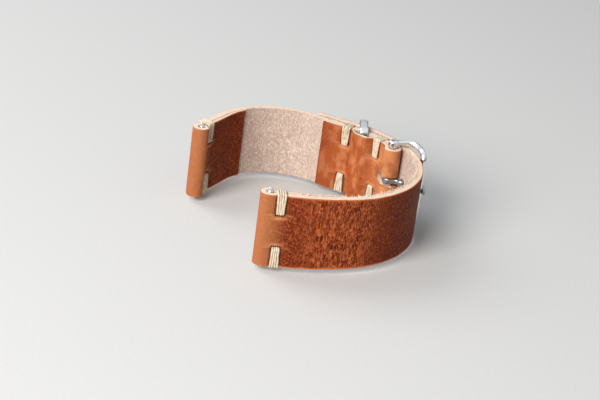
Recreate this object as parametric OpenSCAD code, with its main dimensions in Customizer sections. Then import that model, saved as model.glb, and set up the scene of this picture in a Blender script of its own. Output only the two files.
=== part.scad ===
// Leather watch strap, buckled into a closed loop and standing on its long edge.
// The origin is midway between the two lug spring bars, at half the strap's width.
// +X points from the watch towards the buckle, +Y towards the short piece, +Z along the spring bars.

/* [Leather] */
// Width of the strap at the watch
lug_w = 19.8; // [17:0.1:22]
// Width of the strap at the buckle
buckle_w = 18.6; // [16:0.1:20]
// Thickness of the leather
leather_t = 2.0; // [1.7:0.1:2.2]
// Thickness of the leather where it folds round a spring bar
fold_t = 1.4; // [1.2:0.1:1.6]
// Thickness of a flap at its thinned end
skived_t = 0.5; // [0.3:0.1:0.9]
// Gap between the two plies of a fold
ply_gap = 0.1; // [0.05:0.05:0.2]
// Gap between the short piece and the tail that lies on it
tail_gap = 0.4; // [0.35:0.05:0.6]
// Length of the flap at each lug end
lug_flap_l = 20; // [12:0.5:24]
// Length of the flap at the buckle
buckle_flap_l = 25; // [22:0.5:27]

/* [Loop] */
// Distance between the two lug spring bars
lug_span = 41.4; // [39:0.2:44]
// Distance of the bend's centre from the lug spring bars
bend_x = 23.3; // [21:0.1:25]
// Offset of the bend's centre from the middle of the watch
bend_y = -2.1; // [-4:0.1:0]
// Outer radius of the short piece in the bend
bend_r = 25.4; // [24:0.1:27]
// Angle at which the short piece leaves the bend
bend_end = 36.4; // [34:0.2:40]
// Length of the short piece's straight stretch
straight_l = 13.9; // [13:0.1:16]
// Outer radius of the short piece's shoulder at the watch
shoulder_r = 19.4; // [17:0.1:22]
// Length of the long piece's straight stretch at the watch
lug_straight_l = 8; // [5:0.5:11]
// Angle at which the long piece's gentle run meets the bend
run_end = -98.8; // [-104:0.2:-94]

/* [Tail] */
// Length of the tail past the bend, up to its tip
tail_l = 18.5; // [16:0.5:22]
// Length of the tail's rounded tip
tip_l = 7; // [4:0.5:9]
// Diameter of a tail hole
hole_d = 2.6; // [2.4:0.1:3]
// Distance between tail holes
hole_pitch = 6; // [5:0.25:7]
// Angle of the hole that the tang goes through
tang_hole_a = -5; // [-6:0.5:-4]
// Tail holes between the tang's hole and the watch
holes_before = 2; // [0:1:4]
// Tail holes between the tang's hole and the tip
holes_after = 3; // [1:1:3]

/* [Stitches] */
// Diameter of the waxed thread
thread_d = 0.6; // [0.4:0.05:0.6]
// Strands side by side in one stitch
strands = 4; // [3:1:4]
// Distance of a stitch hole from the strap's edge
stitch_inset = 5; // [4:0.25:6]
// Distance of the lug stitches from the spring bar, along the strap
lug_stitch_s = 2.95; // [2.9:0.05:4]
// Distance of the buckle's first stitches from its spring bar, along the strap
buckle_stitch_s = 6.5; // [6:0.1:6.8]
// Distance of the buckle's second stitches from its spring bar, along the strap
keeper_stitch_s = 17.8; // [17.4:0.1:19]

/* [Spring bars] */
// Diameter of a spring bar's tube
bar_d = 1.8; // [1.5:0.1:1.9]
// Diameter of a spring bar's tip
bar_tip_d = 0.9; // [0.7:0.05:1]
// Length of a spring bar's tip beyond its shoulder
bar_tip_l = 1.1; // [0.8:0.1:1.4]
// Travel of a spring bar's tip
bar_travel = 1.15; // [0.8:0.05:1.3]
// Coils of a spring bar's spring
coils = 12; // [8:1:14]

/* [Buckle] */
// Angle of the buckle's spring bar in the bend
bar_a = 1.8; // [0:0.2:3]
// Diameter of the buckle's wire
wire_d = 1.7; // [1.4:0.1:1.9]
// Angle of the buckle's outer bar in the bend
outer_bar_a = -15.1; // [-18:0.1:-14.5]
// Rounding of the buckle's outer corners
corner_r = 2.2; // [1.6:0.1:2.6]
// Rounding of the buckle's arms beside the spring bar
shoulder_fillet = 2.2; // [1.6:0.1:2.4]
// Width of the tang
tang_w = 1.6; // [1.3:0.1:1.7]
// Thickness of the tang
tang_t = 1.0; // [0.8:0.1:1]
// Outer diameter of the tang's ring
tang_ring_d = 3.2; // [3:0.1:3.4]
// Width of the slot for the tang in the buckle's fold
slot_w = 3; // [2.6:0.1:3.2]
// Length of that slot from the spring bar
slot_l = 4.2; // [3.4:0.1:4.6]
// Diameter of the eyes at the ends of the buckle's arms
eye_d = 2.7; // [2.4:0.1:2.8]

/* [Keeper] */
// Thickness of the keeper's flattened wire
keeper_wire_t = 1; // [0.8:0.1:1.1]
// Width of the keeper's flattened wire
keeper_wire_w = 2.4; // [2:0.1:2.6]
// Rounding of the keeper's corners
keeper_corner_r = 1.1; // [0.9:0.1:1.2]
// Angle of the keeper's inner bar in the bend
keeper_a = 29; // [28:0.5:30]
// Angle by which the keeper leans towards the tail's tip
keeper_lean_a = 8; // [4:0.5:9]
// Travel of the keeper to each side, along the strap
keeper_travel = 0.6; // [0.4:0.1:0.6]

/* [Hidden] */
$fn = 48;

grain = [0.68, 0.34, 0.15];
thread_colour = [0.82, 0.74, 0.56];
steel = [0.80, 0.81, 0.82];
dark_steel = [0.35, 0.36, 0.38];

// Named clearances
pin_play = 0.05;
tunnel_play = 0.1;
seat_play = 0.02;
cut_past = 2;
edge_play = 0.35;
keeper_play = 0.1;
keeper_end_play = 0.45;
frame_play = 0.15;
tang_play = 0.04;

// Spring bars
bar_r = bar_d / 2;
tunnel_r = bar_r + tunnel_play;
fold_r = tunnel_r + fold_t;
shoulder_l = 0.8;
shoulder_bar_r = bar_r - 0.1;
bore_r = bar_r - 0.22;
head_r = bore_r - 0.06;
neck_r = bar_tip_d / 2 + 0.05;
head_l = 0.8;
crimp_l = 0.4;

// Rings of the bend, measured from its centre
bend_c = [bend_x, bend_y];
main_in = bend_r - leather_t;
tail_in = bend_r + tail_gap;
tail_out = tail_in + leather_t;
bar_ring = bend_r - fold_r;
keeper_wire_r = keeper_wire_t / 2;
keeper_flat = keeper_wire_w - keeper_wire_t;
// How far the loop's plane turns from square to the strap, and the room its wire then takes
keeper_tilt_a = atan2((tail_out + keeper_wire_t) * sin(keeper_lean_a),
    (tail_out + keeper_wire_t) * cos(keeper_lean_a) - main_in + keeper_wire_t);
keeper_reach = rounded(keeper_wire_r + keeper_flat / 2 * sin(keeper_tilt_a));
keeper_in_ring = main_in - keeper_play - keeper_reach;
keeper_out_ring = tail_out + 2 * keeper_play + keeper_reach;
wire_r = wire_d / 2;
frame_ring = tail_out + frame_play + wire_r;

function unit(a) = [cos(a), sin(a)];
function left_of(a) = [-sin(a), cos(a)];
function angle_of(v) = atan2(v.y, v.x);
function clamp01(u) = max(0, min(1, u));
function ramp(x, a, b) = let (u = clamp01((x - a) / (b - a))) u * u * (3 - 2 * u);
function degrees(l, r) = l / r * 180 / PI;
function rounded(x) = round(x * 100) / 100;

long_bar = [0, -lug_span / 2];
short_bar = [0, lug_span / 2];
buckle_bar = bend_c + bar_ring * unit(bar_a);

// A run of a strap's grain face is a line [start, heading, length]
// or an arc [centre, radius, start angle, end angle], with the loop's inside on its left.
function is_line(run) = len(run) == 3;
function run_l(run) = is_line(run) ? run[2] : run[1] * (run[3] - run[2]) * PI / 180;
function run_a(run, d) = is_line(run) ? run[1] - 90 : run[2] + degrees(d, run[1]);
function run_p(run, d) = is_line(run)
    ? run[0] + d * unit(run[1])
    : run[0] + run[1] * unit(run_a(run, d));
function start_s(path, i) = i == 0 ? 0 : start_s(path, i - 1) + run_l(path[i - 1]);
function path_l(path) = start_s(path, len(path));
// A station is [point, outward angle, distance along the strap]
function station(path, i, d) = [run_p(path[i], d), run_a(path[i], d), start_s(path, i) + d];
step = 0.5;
function stations(path) = [
    for (i = [0 : len(path) - 1])
        let (l = run_l(path[i]), n = ceil(l / step))
            for (k = [(i == 0 ? 0 : 1) : n]) station(path, i, l * k / n)
];
function run_at(path, s, i = 0) =
    i == len(path) - 1 || s <= start_s(path, i + 1) ? i : run_at(path, s, i + 1);
function at_s(path, s) = let (i = run_at(path, s)) station(path, i, s - start_s(path, i));
function below(st, depth) = st[0] - depth * unit(st[1]);
function reversed(v) = [for (i = [len(v) - 1 : -1 : 0]) v[i]];
function fold_arc(c, r, a, b) = [for (k = [1 : 17]) c + r * unit(a + (b - a) * k / 18)];

// Long piece: from its spring bar along the gentle run, round the bend and over the short piece.
// The run's radius is the one that touches both the bend and the straight stretch at the watch.
bend_from_bar = bend_c - long_bar;
run_r = (pow(norm(bend_from_bar + tail_out * unit(run_end)), 2) - pow(fold_r, 2)
    - pow(lug_straight_l, 2)) / (2 * (bend_from_bar * unit(run_end) + tail_out - fold_r));
run_c = bend_c + (tail_out - run_r) * unit(run_end);
long_to_run = run_c - long_bar;
long_heading = angle_of(long_to_run) - asin((run_r - fold_r) / norm(long_to_run));
long_start = long_bar + fold_r * unit(long_heading - 90);
long_join = run_c + run_r * unit(long_heading - 90);
long_path = [
    [long_start, long_heading, norm(long_join - long_start)],
    [run_c, run_r, long_heading - 90, run_end],
    [bend_c, tail_out, run_end, bend_end],
    [bend_c + tail_out * unit(bend_end), bend_end + 90, tail_l]
];

// Short piece: from the buckle's spring bar round the bend, straight, and over its shoulder
straight_start = bend_c + bend_r * unit(bend_end);
straight_stop = straight_start + straight_l * left_of(bend_end);
shoulder_c = straight_stop - shoulder_r * unit(bend_end);
short_to_shoulder = short_bar - shoulder_c;
short_end_a = angle_of(short_to_shoulder)
    - acos((shoulder_r - fold_r) / norm(short_to_shoulder));
short_join = shoulder_c + shoulder_r * unit(short_end_a);
short_stop = short_bar + fold_r * unit(short_end_a);
short_path = [
    [bend_c, bend_r, bar_a, bend_end],
    [straight_start, bend_end + 90, straight_l],
    [shoulder_c, shoulder_r, bend_end, short_end_a],
    [short_join, short_end_a + 90, norm(short_stop - short_join)]
];
short_l = path_l(short_path);

// Depths of the plies below the grain face, by the distance from a fold's spring bar
lug_pinch = 1.6;
buckle_pinch = 3;
function main_depth(s, pinch) = fold_t + (leather_t - fold_t) * ramp(s, 0, pinch);
function flap_depth(s, pinch) =
    fold_t + 2 * tunnel_r + (leather_t + ply_gap - fold_t - 2 * tunnel_r) * ramp(s, 0, pinch);
function flap_t(s, l) = fold_t + (skived_t - fold_t) * s / l;
function lug_under(s) = flap_depth(s, lug_pinch);
function lug_back(s) = lug_under(s) + flap_t(s, lug_flap_l);

// The buckle's flap stands off where the keeper's inner bar lies between the plies
keeper_s = (keeper_a - bar_a) * bend_r * PI / 180;
keeper_room = 2 * (keeper_play + keeper_reach) - ply_gap;
keeper_half = (keeper_flat / 2 * cos(keeper_tilt_a) + 0.6 * keeper_wire_r + keeper_travel)
    * bend_r / keeper_in_ring;
keeper_ramp = 3;
function keeper_lift(s) = keeper_room
    * (ramp(s, keeper_s - keeper_half - keeper_ramp, keeper_s - keeper_half)
        - ramp(s, keeper_s + keeper_half, keeper_s + keeper_half + keeper_ramp));
function buckle_under(s) = flap_depth(s, buckle_pinch) + keeper_lift(s);
function buckle_back(s) = buckle_under(s) + flap_t(s, buckle_flap_l);

long_grain = stations(long_path);
long_flap = [for (q = long_grain) if (q[2] < lug_flap_l) q];
long_outline = concat(
    fold_arc(long_bar, fold_r, long_heading - 270, long_heading - 90),
    [for (q = long_grain) q[0]],
    reversed([for (q = long_grain) below(q, main_depth(q[2], lug_pinch))]),
    fold_arc(long_bar, tunnel_r, long_heading - 90, long_heading - 270),
    [for (q = long_flap) below(q, lug_under(q[2]))],
    reversed([for (q = long_flap) below(q, lug_back(q[2]))])
);

short_grain = stations(short_path);
short_flap = [for (q = short_grain) if (short_l - q[2] < lug_flap_l) q];
buckle_flap = [for (q = short_grain) if (q[2] < buckle_flap_l) q];
short_outline = concat(
    fold_arc(buckle_bar, fold_r, bar_a - 180, bar_a),
    [for (q = short_grain) q[0]],
    fold_arc(short_bar, fold_r, short_end_a, short_end_a + 180),
    reversed([for (q = short_flap) below(q, lug_back(short_l - q[2]))]),
    [for (q = short_flap) below(q, lug_under(short_l - q[2]))],
    fold_arc(short_bar, tunnel_r, short_end_a + 180, short_end_a),
    reversed([for (q = short_grain)
        below(q, min(main_depth(q[2], buckle_pinch), main_depth(short_l - q[2], lug_pinch)))]),
    fold_arc(buckle_bar, tunnel_r, bar_a, bar_a - 180),
    [for (q = buckle_flap) below(q, buckle_under(q[2]))],
    reversed([for (q = buckle_flap) below(q, buckle_back(q[2]))])
);

// The strap narrows evenly from the watch to the outside of the bend
taper_x = bend_x + tail_out;
function half_w(x) = (lug_w + (buckle_w - lug_w) * clamp01(x / taper_x)) / 2;

module tapered_band(outline) {
    far = 2 * taper_x;
    intersection() {
        linear_extrude(height = lug_w + 2 * cut_past, center = true) polygon(outline);
        rotate([90, 0, 0])
            linear_extrude(height = 4 * lug_span, center = true)
                polygon([
                    [-far, -lug_w / 2], [0, -lug_w / 2], [taper_x, -buckle_w / 2], [far, -buckle_w / 2],
                    [far, buckle_w / 2], [taper_x, buckle_w / 2], [0, lug_w / 2], [-far, lug_w / 2]
                ]);
    }
}

// Puts a piece at a station with +X into the leather and +Z along the width
module at_station(q) {
    translate([q[0].x, q[0].y, 0]) rotate([0, 0, q[1] + 180]) children();
}

module at_bar(p) {
    translate([p.x, p.y, 0]) children();
}

module tunnel(p) {
    at_bar(p) cylinder(h = lug_w + 2 * cut_past, r = tunnel_r, center = true);
}

thread_r = thread_d / 2;
strand_pitch = thread_d * 0.93;
bundle_w = (strands - 1) * strand_pitch + thread_d;
function edge_z(q) = rounded(half_w(q[0].x));
function hole_z(q) = edge_z(q) - stitch_inset;

// The stitch's hole, and the furrows in which it lies on both faces
module stitch_cut(q, depth) {
    w = bundle_w + 4 * seat_play;
    low = hole_z(q) - thread_r - seat_play;
    at_station(q) {
        translate([-cut_past, -w / 2, low]) cube([depth + 2 * cut_past, w, thread_d + 2 * seat_play]);
        translate([-cut_past, -w / 2, low]) cube([cut_past + thread_r, w, stitch_inset + cut_past]);
        translate([depth - thread_r, -w / 2, low]) cube([cut_past, w, stitch_inset + cut_past]);
    }
}

module both_sides() {
    children();
    mirror([0, 0, 1]) children();
}

module strand_row() {
    for (i = [0 : strands - 1])
        translate([0, (i - (strands - 1) / 2) * strand_pitch]) circle(r = thread_r, $fn = 24);
}

// A closed loop of wire or thread, with its flat section as the child
module rounded_loop(x0, x1, z0, z1, r) {
    corners = [[x1, z1, 0], [x0, z1, 90], [x0, z0, 180], [x1, z0, 270]];
    sides = [x1 - x0, z1 - z0, x1 - x0, z1 - z0];
    rotate([90, 0, 0])
        for (k = [0 : 3])
            translate([corners[k].x, corners[k].y, 0])
                rotate([0, 0, corners[k].z])
                    translate([-r, -r, 0]) {
                        rotate_extrude(angle = 90) translate([r, 0]) children();
                        translate([0, r, 0])
                            rotate([0, 0, 180]) rotate([90, 0, 90])
                                linear_extrude(height = sides[k] - 2 * r) children();
                    }
}

// Thread that goes round the strap's edge and back through its hole, as one flat bundle
module stitch(q, depth) {
    color(thread_colour)
        at_station(q)
            rounded_loop(-seat_play, depth + seat_play, hole_z(q),
                edge_z(q) + thread_r + 2 * seat_play, thread_r + 0.05)
                strand_row();
}

long_stitch_q = at_s(long_path, lug_stitch_s);
short_stitch_q = at_s(short_path, short_l - lug_stitch_s);
buckle_stitch_q = at_s(short_path, buckle_stitch_s);
keeper_stitch_q = at_s(short_path, keeper_stitch_s);
half_bundle = bundle_w / 2;
lug_stack = rounded(lug_back(lug_stitch_s - half_bundle));
buckle_stack = rounded(buckle_back(buckle_stitch_s - half_bundle));
keeper_stack = rounded(buckle_back(keeper_stitch_s - half_bundle));

// Waste beyond the tail's rounded tip, in the plane of its last straight stretch
module tip_waste() {
    q = at_s(long_path, path_l(long_path) - tip_l);
    w = half_w(q[0].x);
    n = 14;
    tip = [for (k = [0 : n]) let (a = 90 * k / n) [tip_l * sin(a), w * cos(a)]];
    at_station(q)
        rotate([0, 90, 0])
            translate([0, 0, -cut_past])
                linear_extrude(height = leather_t + 2 * cut_past)
                    difference() {
                        translate([-w - cut_past, -2 * tip_l]) square([2 * (w + cut_past), 2 * tip_l]);
                        polygon(concat(
                            [for (p = tip) [p.y, -p.x]],
                            reversed([for (p = tip) [-p.y, -p.x]]),
                            [[-w, cut_past], [w, cut_past]]
                        ));
                    }
}

function tail_hole_a(i) = tang_hole_a + i * degrees(hole_pitch, tail_out - leather_t / 2);

module tail_holes() {
    for (i = [-holes_before : holes_after])
        translate([bend_x, bend_y, 0])
            rotate([0, 0, tail_hole_a(i)])
                translate([tail_in - cut_past, 0, 0])
                    rotate([0, 90, 0]) cylinder(h = leather_t + 2 * cut_past, d = hole_d);
}

module long_strap() {
    color(grain)
        difference() {
            tapered_band(long_outline);
            tunnel(long_bar);
            both_sides() stitch_cut(long_stitch_q, lug_stack);
            tail_holes();
            tip_waste();
        }
}

// Slot in the buckle's fold, in which the tang swings
module tang_slot() {
    across = 2 * (fold_r + cut_past);
    at_bar(buckle_bar)
        rotate([0, 0, bar_a])
            translate([-across / 2, 0, 0]) {
                translate([0, -across / 2, -slot_w / 2])
                    cube([across, across / 2 + slot_l - slot_w / 2, slot_w]);
                translate([0, slot_l - slot_w / 2, 0])
                    rotate([0, 90, 0]) cylinder(h = across, d = slot_w);
            }
}

module short_strap() {
    color(grain)
        difference() {
            tapered_band(short_outline);
            tunnel(short_bar);
            tunnel(buckle_bar);
            both_sides() {
                stitch_cut(short_stitch_q, lug_stack);
                stitch_cut(buckle_stitch_q, buckle_stack);
                stitch_cut(keeper_stitch_q, keeper_stack);
            }
            tang_slot();
        }
}

// Wire loop round the short piece and the tail. Its inner bar lies between the plies of the
// buckle's fold, and it leans, so that its outer bar stands nearer to the tail's tip.
keeper_inner = bend_c + keeper_in_ring * unit(keeper_a);
keeper_outer = bend_c + keeper_out_ring * unit(keeper_a + keeper_lean_a);
keeper_z = rounded(half_w(keeper_inner.x) + keeper_end_play) + keeper_wire_r;

module flattened_wire() {
    for (side = [-1, 1])
        translate([0, side * keeper_flat / 2]) circle(r = keeper_wire_r);
    square([keeper_wire_t, keeper_flat], center = true);
}

module keeper() {
    color(steel)
        translate([keeper_inner.x, keeper_inner.y, 0])
            rotate([0, 0, angle_of(keeper_outer - keeper_inner)])
                rounded_loop(0, norm(keeper_outer - keeper_inner), -keeper_z, keeper_z,
                    keeper_corner_r)
                    flattened_wire();
}

// Buckle frame: two arms on the spring bar, bent round the strap's edges, and an outer bar.
// Each half holds an arm and half of the outer bar, and the halves overlap a little.
overlap = 1;
frame_half = rounded(half_w(buckle_bar.x) + edge_play);
arm_z = frame_half + wire_r;
arm_start_a = bar_a - asin(shoulder_fillet / bar_ring);
arm_stop_a = outer_bar_a + asin(corner_r / frame_ring);
arm_overlap = 3;
eye_h = wire_d + 0.2;

module arm_ring() {
    rotate_extrude(angle = (arm_start_a - arm_stop_a + arm_overlap) / 2)
        translate([frame_ring, 0]) circle(r = wire_r);
}

module buckle_arm() {
    translate([bend_x, bend_y, arm_z]) {
        rotate([0, 0, arm_start_a]) {
            mirror([0, 1, 0]) arm_ring();
            translate([frame_ring - shoulder_fillet, 0, 0])
                rotate_extrude(angle = 90) translate([shoulder_fillet, 0]) circle(r = wire_r);
            translate([bar_ring, shoulder_fillet, 0])
                rotate([0, 90, 0])
                    cylinder(h = frame_ring - shoulder_fillet - bar_ring, r = wire_r);
        }
        rotate([0, 0, arm_stop_a]) {
            arm_ring();
            translate([frame_ring, 0, -corner_r])
                rotate([0, 90, 0]) rotate([0, 0, 180])
                    rotate_extrude(angle = 90) translate([corner_r, 0]) circle(r = wire_r);
            translate([frame_ring, -corner_r, -arm_z - overlap])
                cylinder(h = arm_z - corner_r + overlap, r = wire_r);
        }
    }
    at_bar(buckle_bar)
        translate([0, 0, arm_z]) cylinder(h = eye_h, d = eye_d, center = true);
}

module buckle_frame() {
    color(steel)
        difference() {
            both_sides() buckle_arm();
            at_bar(buckle_bar)
                cylinder(h = 2 * arm_z + 2 * eye_h, r = bar_tip_d / 2 + pin_play, center = true);
        }
}

// Tang: curls round the spring bar, goes out through the tail's hole, a little towards the
// watch from its middle, and rests on the outer bar
ring_r = tang_ring_d / 2;
rest_ring = frame_ring + wire_r + tang_play + tang_t / 2;
past_bar = 3.2;
tang_a = tang_hole_a - 0.5;
function seen(ring, a) = ring * unit(a - bar_a) - [bar_ring, 0];
tang_neck = [tang_w, tang_t / 2 - ring_r - tang_w / 2];
tang_route = [
    [tang_w / 8, tang_t / 2 - ring_r],
    tang_neck,
    seen(tail_in - tang_t / 5, tang_a),
    seen(tail_out + tang_t / 4, tang_a),
    seen(rest_ring + tang_t / 10, (tang_a + outer_bar_a) / 2),
    seen(rest_ring, outer_bar_a),
    seen(rest_ring - tang_t / 3, outer_bar_a - past_bar)
];
function spline(p0, p1, p2, p3, t) = 0.5 * (2 * p1 + (p2 - p0) * t
    + (2 * p0 - 5 * p1 + 4 * p2 - p3) * t * t
    + (3 * p1 - 3 * p2 + p3 - p0) * t * t * t);
function smooth(route, n) = let (last = len(route) - 1) [
    for (i = [0 : last - 1], k = [0 : n - 1])
        spline(route[max(i - 1, 0)], route[i], route[i + 1], route[min(i + 2, last)], k / n),
    route[last]
];
tang_line = smooth(tang_route, 5);
function heading_at(line, i) =
    angle_of(line[min(i + 1, len(line) - 1)] - line[max(i - 1, 0)]);
function tang_half(i) = tang_t / 2 * (1 - 0.45 * ramp(i, len(tang_line) - 8, len(tang_line) - 1));
tang_outline = concat(
    [for (i = [0 : len(tang_line) - 1])
        tang_line[i] + tang_half(i) * left_of(heading_at(tang_line, i))],
    reversed([for (i = [0 : len(tang_line) - 1])
        tang_line[i] - tang_half(i) * left_of(heading_at(tang_line, i))])
);

module buckle_tang() {
    color(dark_steel)
        at_bar(buckle_bar)
            rotate([0, 0, bar_a])
                difference() {
                    union() {
                        cylinder(h = tang_w, r = ring_r, center = true);
                        linear_extrude(height = tang_w, center = true) polygon(tang_outline);
                    }
                    cylinder(h = tang_w + 2, r = bar_r + tang_play, center = true);
                }
}

// Spring bars: a crimped tube, two sprung tips and the coil between them
lug_bar_half = lug_w / 2 + 0.05;
buckle_bar_half = arm_z - eye_h / 2 - pin_play;
function tube_half(half) = half - shoulder_l - bar_travel - 0.1;

module bar_tube(p, half) {
    h = tube_half(half);
    color(steel)
        at_bar(p)
            rotate_extrude()
                polygon([
                    [bore_r, -h + crimp_l], [neck_r + pin_play, -h + crimp_l], [neck_r + pin_play, -h],
                    [bar_r, -h], [bar_r, h],
                    [neck_r + pin_play, h], [neck_r + pin_play, h - crimp_l], [bore_r, h - crimp_l]
                ]);
}

module bar_tip(p, half) {
    h = tube_half(half) - crimp_l - pin_play;
    tip_r = bar_tip_d / 2;
    color(steel)
        at_bar(p)
            rotate_extrude()
                polygon([
                    [0, h - head_l], [head_r, h - head_l], [head_r, h], [neck_r, h],
                    [neck_r, half - shoulder_l], [shoulder_bar_r, half - shoulder_l],
                    [shoulder_bar_r, half], [tip_r, half],
                    [tip_r, half + bar_tip_l - 0.15], [tip_r - 0.15, half + bar_tip_l], [0, half + bar_tip_l]
                ]);
}

wire_sides = 6;
rings_per_coil = 8;
coil_wire_r = 0.1;
coil_r = bore_r - coil_wire_r - 0.07;
function coil_ring(k, h) = let (
    a = 360 * k / rings_per_coil,
    z = -h + 2 * h * k / (coils * rings_per_coil)
) [for (j = [0 : wire_sides - 1]) let (b = 360 * j / wire_sides, r = coil_r + coil_wire_r * cos(b))
    [r * cos(a), r * sin(a), z + coil_wire_r * sin(b)]];

module bar_spring(p, half) {
    h = tube_half(half) - crimp_l - pin_play - head_l - coil_wire_r - pin_play;
    last = coils * rings_per_coil;
    points = [for (k = [0 : last]) each coil_ring(k, h)];
    sides = [for (k = [0 : last - 1], j = [0 : wire_sides - 1])
        let (a = k * wire_sides + j, b = k * wire_sides + (j + 1) % wire_sides)
            each [[a, b, b + wire_sides], [a, b + wire_sides, a + wire_sides]]];
    ends = [
        [for (j = [wire_sides - 1 : -1 : 0]) j],
        [for (j = [0 : wire_sides - 1]) last * wire_sides + j]
    ];
    color(dark_steel) at_bar(p) polyhedron(points, concat(sides, ends));
}

echo(long_piece_length = path_l(long_path) + PI * fold_r + lug_flap_l);
echo(short_piece_length = short_l + 2 * PI * fold_r + lug_flap_l + buckle_flap_l);
echo(keeper_degrees = degrees(keeper_travel, bend_r));
echo(spring_gap = 2 * tube_half(lug_bar_half) / coils - 2 * coil_wire_r);

long_strap();
short_strap();
stitch(long_stitch_q, lug_stack);  // long_lug_stitch_top
mirror([0, 0, 1]) stitch(long_stitch_q, lug_stack);  // long_lug_stitch_bottom
stitch(short_stitch_q, lug_stack);  // short_lug_stitch_top
mirror([0, 0, 1]) stitch(short_stitch_q, lug_stack);  // short_lug_stitch_bottom
stitch(keeper_stitch_q, keeper_stack);  // keeper_stitch_top
mirror([0, 0, 1]) stitch(keeper_stitch_q, keeper_stack);  // keeper_stitch_bottom
stitch(buckle_stitch_q, buckle_stack);  // buckle_stitch_top
mirror([0, 0, 1]) stitch(buckle_stitch_q, buckle_stack);  // buckle_stitch_bottom
keeper();
buckle_frame();
buckle_tang();
bar_tube(long_bar, lug_bar_half);  // long_bar_tube
bar_tip(long_bar, lug_bar_half);  // long_bar_tip_top
mirror([0, 0, 1]) bar_tip(long_bar, lug_bar_half);  // long_bar_tip_bottom
bar_spring(long_bar, lug_bar_half);  // long_bar_spring
bar_tube(short_bar, lug_bar_half);  // short_bar_tube
bar_tip(short_bar, lug_bar_half);  // short_bar_tip_top
mirror([0, 0, 1]) bar_tip(short_bar, lug_bar_half);  // short_bar_tip_bottom
bar_spring(short_bar, lug_bar_half);  // short_bar_spring
bar_tube(buckle_bar, buckle_bar_half);  // buckle_bar_tube
bar_tip(buckle_bar, buckle_bar_half);  // buckle_bar_tip_top
mirror([0, 0, 1]) bar_tip(buckle_bar, buckle_bar_half);  // buckle_bar_tip_bottom
bar_spring(buckle_bar, buckle_bar_half);  // buckle_bar_spring
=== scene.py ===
import math
import random

import bpy
from mathutils import Matrix, Vector, noise


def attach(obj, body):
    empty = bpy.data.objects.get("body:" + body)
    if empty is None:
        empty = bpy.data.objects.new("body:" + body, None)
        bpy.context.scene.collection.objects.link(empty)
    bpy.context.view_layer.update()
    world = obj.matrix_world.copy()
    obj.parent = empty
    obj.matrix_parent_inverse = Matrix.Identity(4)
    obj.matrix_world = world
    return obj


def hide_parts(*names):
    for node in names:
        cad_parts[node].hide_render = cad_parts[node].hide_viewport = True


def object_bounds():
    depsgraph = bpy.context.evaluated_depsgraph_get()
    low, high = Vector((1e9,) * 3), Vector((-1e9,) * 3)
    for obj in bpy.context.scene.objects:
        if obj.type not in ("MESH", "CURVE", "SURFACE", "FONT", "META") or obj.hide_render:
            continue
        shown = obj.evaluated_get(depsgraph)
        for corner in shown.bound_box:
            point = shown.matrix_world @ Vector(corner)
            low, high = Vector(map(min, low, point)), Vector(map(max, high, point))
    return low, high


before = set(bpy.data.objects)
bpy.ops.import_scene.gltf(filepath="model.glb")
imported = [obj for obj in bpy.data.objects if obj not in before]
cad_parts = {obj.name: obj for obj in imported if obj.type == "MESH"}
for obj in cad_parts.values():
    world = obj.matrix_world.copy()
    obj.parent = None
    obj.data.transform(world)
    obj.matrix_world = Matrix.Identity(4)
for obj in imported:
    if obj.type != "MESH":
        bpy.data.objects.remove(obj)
cadLow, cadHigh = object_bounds()
bpy.ops.object.select_all(action="DESELECT")
print("stage: frame loaded,", len(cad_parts), "solids")
# p stands for the values of the piece at hand, v for those of the strap's path

# camera, floor and light
cameraValues = {
    "lens": 120, "sensor": 36,  # mm
    "clipStart": 0.01,
    "azimuth": 30.107,  # degrees, 0 looks along +Y
    "elevation": 24.286,
    "roll": 7.703,  # the right side stands higher
    "distance": 0.53039,
    "target": (0.021124, 0.0005, -0.004462),
}
lightValues = {
    "floorSize": 6, "floorColour": (0.6, 0.6, 0.595), "floorSpeck": (0.585, 0.585, 0.580125),
    # the studio's walls from straight below to straight above, with a dark band at eye level
    "worldStops": [
        (0.3, (0.62, 0.58, 0.53)), (0.46, (0.12, 0.115, 0.11)), (0.56, (0.1, 0.1, 0.105)),
        (0.64, (0.62, 0.64, 0.66)), (0.85, (0.93, 0.96, 1.0)),
    ],
    "worldStrength": 0.34,  # of its light on the strap
    # name, place, aimed at, size, power in W, colour
    "lamps": [
        ("lampKey", (-0.72, -0.4, 0.5), (0.02, 0.0, 0.0), 0.6, 14.0, (1.0, 0.975, 0.94)),
        ("lampBack", (-0.3, 0.5, 0.55), (0.02, 0.0, 0.0), 0.6, 3.0, (0.96, 0.98, 1.0)),
    ],
}


def degreesTo(x):
    return x * math.pi / 180


def makeActive(piece):
    bpy.ops.object.select_all(action="DESELECT")
    piece.select_set(True)
    bpy.context.view_layer.objects.active = piece


def addCamera(p):
    azimuth, elevation, roll = (degreesTo(p[key]) for key in ("azimuth", "elevation", "roll"))
    back = Vector((
        -math.sin(azimuth) * math.cos(elevation),
        -math.cos(azimuth) * math.cos(elevation),
        math.sin(elevation),
    ))
    level = Vector((0, 0, 1)).cross(back).normalized()
    upright = back.cross(level)
    right = level * math.cos(roll) + upright * math.sin(roll)
    up = upright * math.cos(roll) - level * math.sin(roll)
    place = Vector(p["target"]) + back * p["distance"]
    bpy.ops.object.camera_add(location=place)
    camera = bpy.context.object
    camera.name = "photoCamera"
    camera.data.lens = p["lens"]
    camera.data.sensor_width = p["sensor"]
    camera.data.clip_start = p["clipStart"]
    camera.rotation_euler = Matrix((right, up, back)).transposed().to_euler()
    bpy.context.scene.camera = camera


def addLamp(name, place, aim, size, power, colour):
    bpy.ops.object.light_add(type="AREA", location=place)
    lamp = bpy.context.object
    lamp.name = name
    lamp.data.shape = "DISK"
    lamp.data.size = size
    lamp.data.energy = power
    lamp.data.color = colour
    lamp.rotation_euler = (Vector(aim) - Vector(place)).to_track_quat("-Z", "Y").to_euler()


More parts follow.
